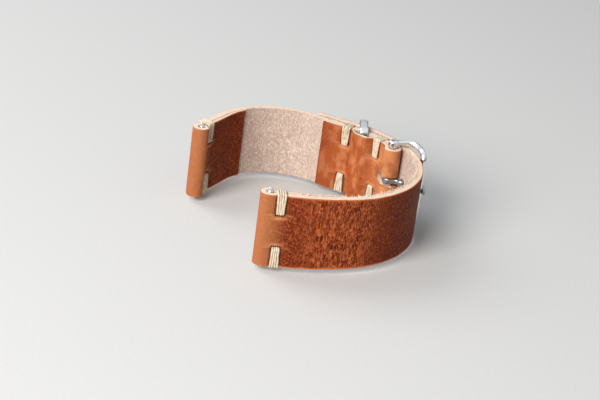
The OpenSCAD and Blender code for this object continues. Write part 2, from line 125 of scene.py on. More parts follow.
class Signal:
    # one output of a shader node; sums written on it add Math nodes
    def __init__(self, recipe, socket):
        self.recipe = recipe
        self.socket = socket

    def __add__(self, other):
        return self.recipe.sum("ADD", self, other)

    def __radd__(self, other):
        return self.recipe.sum("ADD", other, self)

    def __sub__(self, other):
        return self.recipe.sum("SUBTRACT", self, other)

    def __rsub__(self, other):
        return self.recipe.sum("SUBTRACT", other, self)

    def __mul__(self, other):
        return self.recipe.sum("MULTIPLY", self, other)

    def __rmul__(self, other):
        return self.recipe.sum("MULTIPLY", other, self)


class Recipe:
    # a material, filled node by node
    def __init__(self, name, tree=None):
        if tree is None:
            self.material = bpy.data.materials.new(name)
            self.material.use_nodes = True
            tree = self.material.node_tree
        self.tree = tree
        self.tree.nodes.clear()

    def node(self, kind, settings=None, sockets=None, output=0):
        made = self.tree.nodes.new(kind)
        for key, value in (settings or {}).items():
            if key == "stops":
                stops = made.color_ramp.elements
                while len(stops) < len(value):
                    stops.new(0.5)
                for stop, (place, colour) in zip(stops, value):
                    stop.position = place
                    stop.color = (*colour, 1)
            else:
                setattr(made, key, value)
        for key, value in (sockets or {}).items():
            if isinstance(value, Signal):
                self.tree.links.new(value.socket, made.inputs[key])
            else:
                made.inputs[key].default_value = value
        return Signal(self, made.outputs[output]) if made.outputs else None

    def sum(self, operation, first, second=0.0):
        return self.node("ShaderNodeMath", {"operation": operation}, {0: first, 1: second})

    def between(self, value, low, high):
        # 0 at low, 1 at high, soft at both ends
        return self.node(
            "ShaderNodeMapRange", {"interpolation_type": "SMOOTHSTEP"},
            {"Value": value, "From Min": low, "From Max": high},
        )

    def blend(self, share, first, second):
        first = (*first, 1) if isinstance(first, tuple) else first
        second = (*second, 1) if isinstance(second, tuple) else second
        return self.node(
            "ShaderNodeMix", {"data_type": "RGBA", "clamp_factor": True},
            {0: share, 6: first, 7: second}, output=2,
        )

    def layers(self, looks, colour, *rows):
        # each row lays a colour over the ones before, by its share
        colour = looks.get(colour, colour)
        for share, tone in rows:
            colour = self.blend(share, colour, looks[tone])
        return colour

    def stretched(self, place, scale):
        return self.node(
            "ShaderNodeVectorMath", {"operation": "MULTIPLY"}, {0: place, 1: scale}
        )

    def speckle(self, place, scale, detail, rough, warp=0.0):
        # scale: spots a unit, one number or one for each axis
        if isinstance(scale, tuple):
            place, scale = self.stretched(place, scale), 1.0
        return self.node(
            "ShaderNodeTexNoise", {},
            {"Vector": place, "Scale": scale, "Detail": detail, "Roughness": rough,
             "Distortion": warp},
        )

    def cells(self, place, scale, random):
        # 0 in the middle of each cell
        return self.node(
            "ShaderNodeTexVoronoi", {},
            {"Vector": self.stretched(place, scale), "Scale": 1.0, "Randomness": random},
        )

    def split(self, place, axis):
        return self.node("ShaderNodeSeparateXYZ", {}, {0: place}, output=axis)

    def size(self, value):
        return self.sum("ABSOLUTE", value)

    def finish(self, sockets, height=None, strength=0.5, depth=0.0001):
        if height is not None:
            sockets["Normal"] = self.node(
                "ShaderNodeBump", {}, {"Height": height, "Strength": strength, "Distance": depth}
            )
        surface = self.node("ShaderNodeBsdfPrincipled", {}, sockets)
        self.node("ShaderNodeOutputMaterial", {}, {"Surface": surface})
        return self.material


addCamera(cameraValues)
for row in lightValues["lamps"]:
    addLamp(*row)
print("stage: camera and lamps")


def addWorld(p):
    world = bpy.data.worlds.new("studio")
    world.use_nodes = True
    bpy.context.scene.world = world
    sky = Recipe("studio", world.node_tree)
    place = sky.node("ShaderNodeTexCoord")
    height = sky.split(place, 2)
    colour = sky.node(
        "ShaderNodeValToRGB", {"stops": p["worldStops"]}, {0: height * 0.5 + 0.5}
    )
    # seen directly or in the steel, the studio is at its full brightness
    seen = sky.node("ShaderNodeLightPath")
    mirrored = sky.node("ShaderNodeLightPath", output=3)
    dim = p["worldStrength"]
    strength = sky.sum("MAXIMUM", seen, mirrored) * (1 - dim) + dim
    light = sky.node("ShaderNodeBackground", {}, {"Color": colour, "Strength": strength})
    sky.node("ShaderNodeOutputWorld", {}, {"Surface": light})


def addFloor(p, height):
    bpy.ops.mesh.primitive_plane_add(size=p["floorSize"], location=(0, 0, height))
    floor = bpy.context.object
    floor.name = "floor"
    card = Recipe("paleCard")
    place = card.node("ShaderNodeTexCoord", output=3)
    grain = card.speckle(place, 900, 3, 0.6)
    shade = card.blend(card.between(grain, 0.3, 0.7), p["floorColour"], p["floorSpeck"])
    floor.data.materials.append(
        card.finish({"Base Color": shade, "Roughness": 0.85}, grain, 0.05, 0.0001)
    )


addWorld(lightValues)
addFloor(lightValues, cadLow.z)
print("stage: floor and world")

# the loop's path, the same as in the solids; millimetres and degrees
strapPath = {
    "lugWidth": 19.8, "buckleWidth": 18.6, "leather": 2.0, "foldLeather": 1.4, "skived": 0.5,
    "plyGap": 0.1, "tailGap": 0.4, "lugFlap": 20.0, "buckleFlap": 25.0, "lugSpan": 41.4,
    "bendCentre": (23.3, -2.1), "bendRadius": 25.4, "bendEnd": 36.4, "straight": 13.9,
    "shoulderRadius": 19.4, "lugStraight": 8.0, "runEnd": -98.8, "tail": 18.5, "tip": 7.0,
    "tunnelRadius": 1.0, "barAngle": 1.8, "lugPinch": 1.6, "bucklePinch": 3.0,
    "keeperAngle": 29.0, "keeperRoom": 1.86, "keeperHalf": 1.683, "keeperRamp": 3.0,
}


def mix(low, high, share):
    return low + (high - low) * share


def unitAt(angle):
    return Vector((math.cos(degreesTo(angle)), math.sin(degreesTo(angle))))


def angleOf(v):
    return math.degrees(math.atan2(v.y, v.x))


def ramp(x, low, high):
    share = max(0.0, min(1.0, (x - low) / (high - low)))
    return share * share * (3 - 2 * share)


def hill(x, width):
    return math.exp(-(x / width) ** 2)


class GrainPath:
    # runs are (start, heading, length) or (centre, radius, from angle, to angle)
    def __init__(self, runs):
        self.runs = runs
        self.starts = [0.0]
        for run in runs:
            self.starts.append(self.starts[-1] + self.length(run))
        self.total = self.starts[-1]

    @staticmethod
    def length(run):
        return run[2] if len(run) == 3 else run[1] * degreesTo(run[3] - run[2])

    def station(self, s):
        i = 0
        while i < len(self.runs) - 1 and s > self.starts[i + 1]:
            i += 1
        run, along = self.runs[i], s - self.starts[i]
        if len(run) == 3:
            return run[0] + along * unitAt(run[1]), run[1] - 90
        angle = run[2] + math.degrees(along / run[1])
        return run[0] + run[1] * unitAt(angle), angle

    def below(self, s, depth):
        point, angle = self.station(s)
        return point - depth * unitAt(angle)


v = strapPath
bendCentre = Vector(v["bendCentre"])


def atBend(ring, angle):
    return bendCentre + ring * unitAt(angle)


foldRadius = v["tunnelRadius"] + v["foldLeather"]
foldLength = math.pi * foldRadius
tailInner = v["bendRadius"] + v["tailGap"]
tailOuter = tailInner + v["leather"]
barRing = v["bendRadius"] - foldRadius
longBar = Vector((0, -v["lugSpan"] / 2))
shortBar = Vector((0, v["lugSpan"] / 2))
buckleBar = atBend(barRing, v["barAngle"])
fromBar = bendCentre - longBar
atRunEnd = unitAt(v["runEnd"])
runRadius = (
    (fromBar + tailOuter * atRunEnd).length_squared - foldRadius ** 2 - v["lugStraight"] ** 2
) / (2 * (fromBar.dot(atRunEnd) + tailOuter - foldRadius))
runCentre = bendCentre + (tailOuter - runRadius) * atRunEnd
toRun = runCentre - longBar
longHeading = angleOf(toRun) - math.degrees(math.asin((runRadius - foldRadius) / toRun.length))
longPath = GrainPath([
    (longBar + foldRadius * unitAt(longHeading - 90), longHeading, v["lugStraight"]),
    (runCentre, runRadius, longHeading - 90, v["runEnd"]),
    (bendCentre, tailOuter, v["runEnd"], v["bendEnd"]),
    (atBend(tailOuter, v["bendEnd"]), v["bendEnd"] + 90, v["tail"]),
])
straightStart = atBend(v["bendRadius"], v["bendEnd"])
straightStop = straightStart + v["straight"] * unitAt(v["bendEnd"] + 90)
shoulderCentre = straightStop - v["shoulderRadius"] * unitAt(v["bendEnd"])
toShoulder = shortBar - shoulderCentre
shortEnd = angleOf(toShoulder) - math.degrees(
    math.acos((v["shoulderRadius"] - foldRadius) / toShoulder.length)
)
shortJoin = shoulderCentre + v["shoulderRadius"] * unitAt(shortEnd)
shortStop = shortBar + foldRadius * unitAt(shortEnd)
shortPath = GrainPath([
    (bendCentre, v["bendRadius"], v["barAngle"], v["bendEnd"]),
    (straightStart, v["bendEnd"] + 90, v["straight"]),
    (shoulderCentre, v["shoulderRadius"], v["bendEnd"], shortEnd),
    (shortJoin, shortEnd + 90, (shortStop - shortJoin).length),
])
taperEnd = bendCentre.x + tailOuter


def halfWidth(x):
    return mix(v["lugWidth"], v["buckleWidth"], max(0.0, min(1.0, x / taperEnd))) / 2


def mainDepth(s, pinch):
    return mix(v["foldLeather"], v["leather"], ramp(s, 0, pinch))


def underDepth(s, pinch):
    atBar = v["foldLeather"] + 2 * v["tunnelRadius"]
    return mix(atBar, v["leather"] + v["plyGap"], ramp(s, 0, pinch))


def flapThickness(s, length):
    return mix(v["foldLeather"], v["skived"], s / length)


def keeperLift(s):
    middle = degreesTo(v["keeperAngle"] - v["barAngle"]) * v["bendRadius"]
    half, slope = v["keeperHalf"], v["keeperRamp"]
    start, stop = middle - half, middle + half
    return v["keeperRoom"] * (ramp(s, start - slope, start) - ramp(s, stop, stop + slope))


def lugFlapDepth(s, d):
    return underDepth(s, v["lugPinch"]) + (1 - d) * flapThickness(s, v["lugFlap"])


def buckleFlapDepth(s, d):
    return (underDepth(s, v["bucklePinch"]) + keeperLift(s)
            + (1 - d) * flapThickness(s, v["buckleFlap"]))


def roundFold(bar, angle, d, lift):
    return bar + (foldRadius - d * v["foldLeather"] - lift) * unitAt(angle)


# d is 0 on the grain face and 1 on the flesh face
def wrapLong(u, d, lift):
    if u >= 0:
        return longPath.below(min(u, longPath.total), d * mainDepth(u, v["lugPinch"]) + lift)
    if u > -foldLength:
        return roundFold(longBar, longHeading - 90 + 180 * u / foldLength, d, lift)
    s = -foldLength - u
    return longPath.below(s, lugFlapDepth(s, d) - lift)


def wrapShort(u, d, lift):
    total = shortPath.total
    if 0 <= u <= total:
        depth = min(mainDepth(u, v["bucklePinch"]), mainDepth(total - u, v["lugPinch"]))
        return shortPath.below(u, d * depth + lift)
    if u < 0:
        if u > -foldLength:
            return roundFold(buckleBar, v["barAngle"] + 180 * u / foldLength, d, lift)
        s = -foldLength - u
        return shortPath.below(s, buckleFlapDepth(s, d) - lift)
    if u < total + foldLength:
        return roundFold(shortBar, shortEnd + 180 * (u - total) / foldLength, d, lift)
    s = u - total - foldLength
    return shortPath.below(total - s, lugFlapDepth(s, d) - lift)


print("stage: path, long", round(longPath.total, 2), "short", round(shortPath.total, 2))

# leather
leatherValues = {
    "edgeRound": 0.2,  # mm, rounding of the cut edges
    "rowPitches": (0.36, 0.2, 0.3),  # mm between rows: wide, fine, in the folds
    "columns": [(4.0, 0.4), (5.6, 0.16), (9.1, 0.35), (9.9, 0.16)],  # half the width, pitch
    "holeDiameter": 2.6, "holePitch": 6.0, "tangHoleAngle": -5.0, "holesBefore": 2,
    "holesAfter": 3, "slotWidth": 3.0, "slotLength": 4.2,
    # mm from the spring bar, along the strap
    "stitchPlaces": {"lug": 2.95, "buckle": 6.5, "keeper": 17.8},
    "stitchInset": 5.0, "bundle": 2.27,
    "edgeRows": (0.35, 0.65),  # share of the thickness
    # mm that the leather gives round a stitch and a hole, and how far round a stitch it does
    "furrow": 0.27, "sag": 0.24, "pit": 0.8, "ridge": 0.17, "crease": 0.07, "pull": 0.2,
    "holeDip": 0.11, "stitchReach": 7.0,
    # mm of slow and quick unevenness of the faces, then of the cut edges
    "lump": 0.05, "ripple": 0.022, "wave": 0.07, "quickWave": 0.035,
    "seed": 7, "smoothAngle": 48,
}
lugSpot, buckleSpot, keeperSpot = leatherValues["stitchPlaces"].values()


def spaced(spans):
    # places from the first span's start, as (end, pitch) rows
    places = [spans[0][0]]
    for end, pitch in spans[1:]:
        count = max(1, round((end - places[-1]) / pitch))
        start = places[-1]
        places += [start + (end - start) * k / count for k in range(1, count + 1)]
    return places


def mirroredColumns(rows):
    right = spaced([(0.0, 0)] + rows)
    return [-x for x in reversed(right[1:])] + right


def flatGrid(name, rowPlaces, columnPlaces):
    # a grid whose rows and columns are slid to the places given
    rows, columns = len(rowPlaces) - 1, len(columnPlaces) - 1
    bpy.ops.mesh.primitive_grid_add(
        x_subdivisions=rows, y_subdivisions=columns, size=2, location=(0, 0, 0)
    )
    sheet = bpy.context.object
    sheet.name = name
    for vertex in sheet.data.vertices:
        i = round((vertex.co.x + 1) / 2 * rows)
        j = round((vertex.co.y + 1) / 2 * columns)
        vertex.co = (rowPlaces[i], columnPlaces[j], 0)
    return sheet


def applyModifier(piece, kind, **settings):
    makeActive(piece)
    made = piece.modifiers.new(kind.lower(), kind)
    for key, value in settings.items():
        setattr(made, key, value)
    bpy.ops.object.modifier_apply(modifier=made.name)


def combine(piece, others, operation):
    for other in others:
        applyModifier(piece, "BOOLEAN", operation=operation, object=other, solver="EXACT")
        bpy.data.objects.remove(other, do_unlink=True)


def bisectRim(piece, depths):
    # rows of points round the cut edge
    makeActive(piece)
    bpy.ops.object.mode_set(mode="EDIT")
    for depth in depths:
        bpy.ops.mesh.select_all(action="SELECT")
        bpy.ops.mesh.bisect(plane_co=(0, 0, -depth), plane_no=(0, 0, 1))
    bpy.ops.object.mode_set(mode="OBJECT")


def startCurve(name):
    bpy.ops.curve.primitive_nurbs_circle_add(radius=1, location=(0, 0, 0))
    made = bpy.context.object
    made.name = name
    made.data.splines.clear()
    return made


def addLine(curve, count, closed=True):
    line = curve.splines.new("POLY")
    line.points.add(count - 1)
    line.use_cyclic_u = closed
    return line


def closedProfile(name, outline):
    # a flat closed curve, as the cross-section of another
    profile = startCurve(name)
    for point, place in zip(addLine(profile.data, len(outline)).points, outline):
        point.co = (*place, 0, 1)
    return profile


def curveToMesh(piece):
    profile = piece.data.bevel_object
    makeActive(piece)
    bpy.ops.object.convert(target="MESH")
    if profile:
        bpy.data.objects.remove(profile, do_unlink=True)
    made = bpy.context.object
    made.data.materials.clear()
    return made


def turnOutwards(piece, merge=0.0):
    makeActive(piece)
    bpy.ops.object.mode_set(mode="EDIT")
    bpy.ops.mesh.select_all(action="SELECT")
    if merge:
        bpy.ops.mesh.remove_doubles(threshold=merge)
    bpy.ops.mesh.normals_make_consistent(inside=False)
    bpy.ops.object.mode_set(mode="OBJECT")


def addCylinder(place, radius, depth, sides):
    bpy.ops.mesh.primitive_cylinder_add(
        vertices=sides, radius=radius, depth=depth, location=place
    )
    return bpy.context.object


def roundEdges(piece, width, segments):
    applyModifier(
        piece, "BEVEL", width=width, segments=segments, limit_method="ANGLE",
        angle_limit=degreesTo(60),
    )


def roundCutter(x, radius):
    return addCylinder((x, 0, -v["leather"] / 2), radius, 4 * v["leather"], 40)


def slotCutter(x0, x1, width):
    # a box with half-round ends
    cutter = roundCutter((x0 + x1) / 2, width / 2)
    stretch = (x1 - x0 - width) / 2
    for vertex in cutter.data.vertices:
        vertex.co.x += stretch if vertex.co.x > 0 else -stretch
    return cutter


def stitchRelief(u, w, centre, holeAcross):
    # how far one stitch presses the grain face in, and how much painted shade and painted
    # highlight it gets
    p = leatherValues
    along = abs(u - centre)
    if along > p["stitchReach"]:
        return 0.0, 0.0, 0.0
    half, past = p["bundle"] / 2, w - holeAcross
    bed = p["furrow"] * (1 - ramp(along, half + 0.02, half + 0.5)) * ramp(past, -0.35, 0.1)
    sag = p["sag"] * hill(along, 2.6) * ramp(past, -0.25, 0.5)
    pit = p["pit"] * (1 - ramp(along, half - 0.25, half + 0.35)) * hill(past + 0.34, 0.45)
    ridge = p["ridge"] * hill(along, 1.5) * hill(past + 1.2, 0.42)
    crease = p["crease"] * hill(along - 1.9, 1.5) * hill(past - 0.05, 0.28)
    beside = 0.45 * hill(along - half - 0.2, 0.3) * ramp(past, -0.1, 0.3)
    # dark: painted shade in the pit, in the crease and beside the thread; pale: painted highlight
    # on the ridge below the stitch
    dark = min(1.0, 1.6 * pit + 3.5 * crease + beside)
    pale = hill(along, 1.6) * hill(past + 1.2, 0.42) \
        + 0.35 * hill(along - 2.3, 1.1) * hill(past + 0.35, 0.35)
    return bed + sag + pit + crease - ridge, dark, pale


def wrapLeather(sheet, wrap, stitches, holes):
    # wraps the flat sheet into its place, in metres, and keeps its flat place for the pattern
    p = leatherValues
    mesh = sheet.data
    flat = mesh.attributes.new("flatPlace", "FLOAT_VECTOR", "POINT")
    touch = mesh.attributes.new("touch", "FLOAT_VECTOR", "POINT")
    nominal = v["lugWidth"] / 2
    seed = Vector((31.0 * p["seed"], 17.0, 5.0 if wrap is wrapLong else 55.0))
    for index, vertex in enumerate(mesh.vertices):
        u, across, t = vertex.co.x, vertex.co.y, -vertex.co.z
        d = max(0.0, min(1.0, t / v["leather"]))
        side = abs(across)
        # slow unevenness of the faces and of the cut edge
        lump = p["lump"] * noise.noise(Vector((u * 0.25, across * 0.25, d)) + seed)
        ripple = p["ripple"] * noise.noise(Vector((u * 1.1, across * 0.6, d * 3)) + seed)
        slow = noise.noise(Vector((u * 0.35, math.copysign(9, across), d * 0.7)) + seed)
        quick = noise.noise(Vector((u * 1.7, math.copysign(5, across), d * 2.2)) + seed)
        wave = p["wave"] * slow + p["quickWave"] * quick
        press, dark, pale = 0.0, 0.0, 0.0
        for centre in stitches:
            a, b, c = stitchRelief(u, side, centre, nominal - p["stitchInset"])
            press, dark, pale = press + a, max(dark, b), max(pale, c)
        for centre in holes:
            away = math.hypot(u - centre, across) - p["holeDiameter"] / 2
            if away < 2:
                press += p["holeDip"] * hill(away, 0.35)
                # painted shade in the dip round each hole
                dark = max(dark, 0.5 * hill(away - 0.12, 0.22))
        point = wrap(u, d, 0.0)
        edge = max(0.0, (side - 0.45 * nominal) / (0.55 * nominal))
        pull = sum(p["pull"] * hill(u - centre, 1.15) for centre in stitches)
        z = side + edge * (halfWidth(point.x) - nominal + wave - pull)
        point = wrap(u, d, (1 - d) * (press + ripple + lump))
        vertex.co = (point.x / 1000, point.y / 1000, math.copysign(z, across) / 1000)
        flat.data[index].vector = (u, across, d)
        # the painted shade and painted highlight go to the material as an attribute
        touch.data[index].vector = (dark, min(1.0, pale), 0.0)
    mesh.update()


def leatherSheet(name, rowSpans, wrap, stitches, holes, slot, tipped):
    p = leatherValues
    rows = spaced(rowSpans)
    sheet = flatGrid(name, rows, mirroredColumns(p["columns"]))
    half = v["lugWidth"] / 2
    if tipped:  # the square end becomes half an ellipse
        start = rows[-1] - v["tip"]
        for vertex in sheet.data.vertices:
            a = (vertex.co.x - start) / v["tip"]
            if a > 0:
                b = vertex.co.y / half
                vertex.co.x = start + v["tip"] * a * math.sqrt(1 - b * b / 2)
                vertex.co.y = half * b * math.sqrt(1 - a * a / 2)
    applyModifier(sheet, "SOLIDIFY", thickness=v["leather"], offset=-1)
    roundEdges(sheet, p["edgeRound"], 3)
    bisectRim(sheet, [share * v["leather"] for share in p["edgeRows"]])
    cutters = [roundCutter(place, p["holeDiameter"] / 2) for place in holes]
    if slot:
        cutters.append(slotCutter(*slot, p["slotWidth"]))
    combine(sheet, cutters, "DIFFERENCE")
    wrapLeather(sheet, wrap, stitches, holes)
    makeActive(sheet)
    bpy.ops.object.shade_smooth_by_angle(angle=degreesTo(p["smoothAngle"]))
    return sheet


bendStart, p = longPath.starts[2], leatherValues
wide, fine, foldPitch = p["rowPitches"]
holeTurn = math.degrees(p["holePitch"] / (tailOuter - v["leather"] / 2))
holePlaces = [
    bendStart + tailOuter * degreesTo(p["tangHoleAngle"] + i * holeTurn - v["runEnd"])
    for i in range(-p["holesBefore"], p["holesAfter"] + 1)
]
foldStart = -foldLength
longSheet = leatherSheet(
    "longStrapLeather",
    [(foldStart - v["lugFlap"], 0), (foldStart - 6, wide), (foldStart, fine), (0, foldPitch),
     (6.5, fine), (longPath.total, wide)],
    wrapLong, [lugSpot, foldStart - lugSpot], holePlaces, None, True,
)
print("stage: long strap,", len(longSheet.data.polygons), "faces")
shortTotal = shortPath.total
farFold, slotReach = shortTotal + foldLength, p["slotLength"]
shortSheet = leatherSheet(
    "shortStrapLeather",
    [(foldStart - v["buckleFlap"], 0), (foldStart - 21, wide), (foldStart - 15, fine),
     (foldStart - 9.5, wide), (foldStart - 3.5, fine), (0, foldPitch), (3.5, foldPitch),
     (9.5, fine), (15, wide), (21, fine), (shortTotal - 6.5, wide), (shortTotal, fine),
     (farFold, foldPitch), (farFold + 6, fine), (farFold + v["lugFlap"], wide)],
    wrapShort,
    [buckleSpot, foldStart - buckleSpot, keeperSpot, foldStart - keeperSpot,
     shortTotal - lugSpot, farFold + lugSpot],
    [], (foldStart - slotReach, slotReach), False,
)
print("stage: short strap,", len(shortSheet.data.polygons), "faces")

leatherLooks = {
    "grainDeep": (0.058, 0.0056, 0.0011),
    "grainMain": (0.14, 0.017, 0.0034),
    "grainPulled": (0.54, 0.142, 0.046),
    # painted highlight colour for the rounded edges of the grain face
    "grainEdge": (0.6, 0.17, 0.055),
    "grainPale": (0.42, 0.15, 0.06),
    "flapMain": (0.36, 0.085, 0.024),
    "flapDark": (0.19, 0.032, 0.008),
    "flapPale": (0.62, 0.262, 0.117),
    # painted shade colour for the stitch dents and the hole dips
    "dent": (0.055, 0.014, 0.005),
    "flesh": (0.43, 0.32, 0.265),
    "fleshPale": (0.62, 0.5, 0.43),
    "fleshDeep": (0.33, 0.22, 0.17),
    "cutEdge": (0.9, 0.725, 0.59),
    "cutEdgeDark": (0.62, 0.43, 0.31),
    "specular": 0.08, "grainRough": 0.46, "fleshRough": 0.93,
}
leatherPattern = {
    # spots a millimetre of the flat strip: along, across and through it
    "fray": (2.2, 2.2, 4.4), "warp": 0.55, "ragged": 2.6, "slow": 0.15, "middle": 0.6, "fine": 5.0,
    "pebble": (1.42, 0.95, 0), "small": (2.5, 2.0, 0), "drawn": (2.7, 0.5, 0),
    "lace": (1.5, 0.42, 0), "vein": (0.9, 0.16, 0), "cloud": (0.2, 0.15, 0),
    "rubbed": (0.36, 0.16, 0), "nap": (2.0, 1.0, 0), "fibre": (7.0, 1.6, 0),
    "tuft": (1.6, 1.1, 0), "layer": (1.44, 1.44, 14.4),
    # shares of the pits and of the pale ridges, in the creased stretch and in the rest
    "pits": 0.95, "smallPits": 0.52, "drawnRidges": (0.58, 0.06), "veins": 0.4,
    "net": (0.49, 0.03), "pebbleRims": 0.3, "smallRims": 0.33, "fineRims": 0.22,
    "creaseReach": (5.0, 13.0),  # mm from its middle
    "openFlesh": (22, 34, 62, 74),  # mm along: from, fully, until, gone
    "bump": 0.7, "bumpDepth": 0.00016,
}


def leatherMaterial(name, looks, foldPlace, flapPlace, creasePlace):
    # all in flat millimetres along the strip; foldPlace: (middle, reach) of the pale fold;
    # flapPlace: (from, to, reach of its paler part) of the orange flap; creasePlace: middle of
    # the creased stretch
    r, p = Recipe(name), leatherPattern
    place = r.node("ShaderNodeAttribute", {"attribute_name": "flatPlace"}, output=1)
    dentLight = r.node("ShaderNodeAttribute", {"attribute_name": "touch"}, output=1)
    along, across, depth = (r.split(place, axis) for axis in range(3))
    dark, pale = r.split(dentLight, 0), r.split(dentLight, 1)
    surface = r.stretched(place, (1, 1, 0))

    # masks of the three kinds of surface, with a frayed line between them
    fray = r.speckle(place, p["fray"], 3, 0.6) * 0.06
    onGrain = 1 - r.between(depth + fray, 0.075, 0.12)
    onFlesh = r.between(depth + fray, 0.93, 0.99)

    # pebbled grain: dark pits in a paler net, drawn out across the strap where it creased; the
    # pits' darkness is partly their darker pores and partly painted shade in the hollows
    warp = r.speckle(surface, p["warp"], 2, 0.5)
    ragged = r.speckle(surface, p["ragged"], 3, 0.65)
    shift = r.node(
        "ShaderNodeCombineXYZ", {},
        {0: warp * 0.7 + ragged * 0.45, 1: warp * 0.5 - ragged * 0.5},
    )
    bent = r.node("ShaderNodeVectorMath", {"operation": "ADD"}, {0: surface, 1: shift})
    creased = 1 - r.between(r.size(along - creasePlace), *p["creaseReach"])
    slow = r.speckle(surface, p["slow"], 3, 0.55)
    middle = r.speckle(surface, p["middle"], 3, 0.6)
    fine = r.speckle(surface, p["fine"], 3, 0.65)
    pebble, small = r.cells(bent, p["pebble"], 0.92), r.cells(bent, p["small"], 0.95)
    drawn = r.speckle(bent, p["drawn"], 3, 0.55)
    net = 1 - r.between(r.size(r.speckle(bent, p["lace"], 2, 0.5) - 0.5), 0.0, 0.045)
    vein = 1 - r.between(r.size(r.speckle(bent, p["vein"], 3, 0.55) - 0.5), 0.0, 0.035)
    smooth = 1 - creased
    pit = (1 - r.between(pebble, 0.08, 0.48)) * creased \
        * (r.between(middle, 0.34, 0.6) * 0.5 + 0.5) \
        + (1 - r.between(small, 0.06, 0.55)) * smooth * p["smallPits"]
    ridges = r.between(drawn, 0.55, 0.66) * (creased * p["drawnRidges"][0] + p["drawnRidges"][1]) \
        + vein * creased * p["veins"] + net * (creased * p["net"][0] + p["net"][1]) \
        + r.between(pebble, 0.52, 0.8) * creased * p["pebbleRims"] \
        + r.between(small, 0.42, 0.82) * smooth * p["smallRims"] \
        + r.between(fine, 0.5, 0.75) * smooth * p["fineRims"]
    # painted highlight: a paler orange band along the grain face's rounded top and bottom edges
    rim = v["lugWidth"] / 2
    rimHighlight = r.between(r.size(across) + ragged * 0.25, rim - 0.4, rim + 0.05)
    spot, reach = foldPlace
    nearFold = 1 - r.between(r.size(along - spot), reach * 0.35, reach)
    grainColour = r.layers(
        looks, "grainMain",
        (r.between(slow, 0.4, 0.62) * 0.35, "grainDeep"),
        # the pits: partly darker pores, partly painted shade in their hollows
        (pit * p["pits"], "grainDeep"),
        (ridges, "grainPulled"),
        (rimHighlight * 0.8, "grainEdge"),
        (nearFold * (middle * 0.4 + 0.6) * (1 - pit * 0.22), "grainPale"),
    )

    # the flap's grain is burnished: more orange, cloudy, paler towards the spring bar
    start, stop, paleReach = flapPlace
    onFlap = r.between(along, start, start + 0.6) * (1 - r.between(along, stop - 2, stop))
    cloud = r.between(r.speckle(surface, p["cloud"], 4, 0.6), 0.5, 0.64)
    rubbed = r.between(r.speckle(surface, p["rubbed"], 4, 0.6), 0.44, 0.62)
    flapColour = r.layers(
        looks, "flapMain",
        (r.between(along, stop - paleReach, stop - 0.35 * paleReach) * 0.62, "flapPale"),
        (rubbed * 0.48, "flapPale"),
        (cloud * 0.48, "flapDark"),
        (pit * 0.14 + (1 - r.between(middle, 0.36, 0.52)) * 0.16, "flapDark"),
        ((1 - r.between(along, start + 1, start + 9)) * 0.42, "flapDark"),
    )
    # painted highlight on the ridges below the stitches, painted shade in the stitch dents and
    # hole dips
    grainColour = r.layers(
        looks, r.blend(onFlap, grainColour, flapColour),
        (pale * 0.85, "flapPale"), (dark * 0.92, "dent"),
    )

    # flesh: a short nap, mottled; where the bend opened it, tufts stand up, with painted shade in
    # the hollows between them
    nap = r.speckle(surface, p["nap"], 4, 0.72, 0.6)
    fibre = r.speckle(surface, p["fibre"], 3, 0.7, 0.8)
    tuft = r.speckle(surface, p["tuft"], 4, 0.72, 1.2)
    opening, opened, closing, closed = p["openFlesh"]
    onTufts = r.between(along, opening, opened) * (1 - r.between(along, closing, closed))
    fleshColour = r.layers(
        looks, "flesh",
        (r.between(nap, 0.35, 0.68), "fleshPale"),
        (r.between(slow, 0.42, 0.62) * 0.22, "fleshDeep"),
        (r.between(fibre, 0.55, 0.75) * 0.5, "fleshPale"),
        (r.between(tuft, 0.5, 0.6) * onTufts * 0.38, "cutEdge"),
        # painted shade in the hollows between the tufts
        ((1 - r.between(tuft, 0.4, 0.5)) * onTufts * 0.34, "fleshDeep"),
    )

    # cut edge: packed fibres in layers
    layer = r.speckle(place, p["layer"], 3, 0.7, 0.5)
    edgeColour = r.layers(
        looks, "cutEdgeDark", (r.between(layer, 0.38, 0.72), "cutEdge"), (0.45, "cutEdge"))

    colour = r.blend(onFlesh, r.blend(onGrain, edgeColour, grainColour), fleshColour)
    offGrain = 1 - onGrain
    rough = (fine * 0.2 - onFlap * 0.08 + looks["grainRough"]) * onGrain \
        + offGrain * looks["fleshRough"]
    grainHeight = ridges * 0.5 - pit * 0.5 + drawn * creased * 0.7 + fine * 0.2
    fuzzHeight = nap * 0.9 + fibre * 0.6 + tuft * onTufts * 1.6
    height = grainHeight * onGrain + fuzzHeight * onFlesh \
        + layer * offGrain * (1 - onFlesh) * 0.8
    return r.finish(
        {"Base Color": colour, "Roughness": rough, "Specular IOR Level": looks["specular"]},
        height, p["bump"], p["bumpDepth"],
    )


longSheet.data.materials.append(leatherMaterial(
    "cognacLeatherLong", leatherLooks, (foldStart / 2, 9.5),
    (foldStart - v["lugFlap"], foldStart, 4.0), 19.5,
))
shortSheet.data.materials.append(leatherMaterial(
    "cognacLeatherShort", leatherLooks, (shortTotal + foldLength / 2, 9.0),
    (foldStart - v["buckleFlap"], 0.0, 19.0), 36.0,
))
for sheet, node in ((longSheet, "long_strap"), (shortSheet, "short_strap")):
    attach(sheet, "leather")
    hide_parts(node)
print("stage: leather finished")

